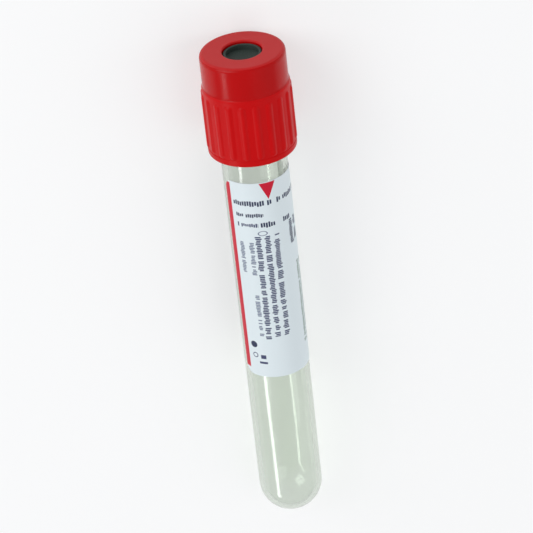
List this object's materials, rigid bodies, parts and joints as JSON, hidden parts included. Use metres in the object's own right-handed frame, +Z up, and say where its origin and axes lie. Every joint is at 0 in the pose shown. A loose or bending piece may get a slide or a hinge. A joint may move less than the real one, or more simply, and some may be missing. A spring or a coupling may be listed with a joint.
{
  "type": "blood collection tube",
  "caption": "Clear round-bottomed blood collection tube with a red ribbed pull-off closure over a grey rubber stopper and a white write-on label, lying on its side.",
  "frame": {"origin": "on the floor under the middle of the outline, with the tube lying on its side", "axes": "+Z up; the tube lies along Y with its closure towards -Y, leaning 1.6 degrees up towards the closure; the label's middle faces up and 30 degrees towards -X"},
  "size_m": [0.0176, 0.1072, 0.0179],
  "materials": {
    "clear_plastic": "clear, glossy",
    "red_plastic": "satin gloss",
    "grey_rubber": "matt",
    "label_paper": "smooth, semi-matt"
  },
  "bodies": {
    "tube_with_label": {"tube": "clear_plastic", "label": "label_paper"},
    "closure": {"closure_shield": "red_plastic", "rubber_stopper": "grey_rubber"}
  },
  "joints": [
    {"name": "closure_pull", "type": "slide", "parent": "tube_with_label", "child": "closure", "axis": [0, -0.9996, 0.0282], "range_m": [0, 0.025]}
  ]
}
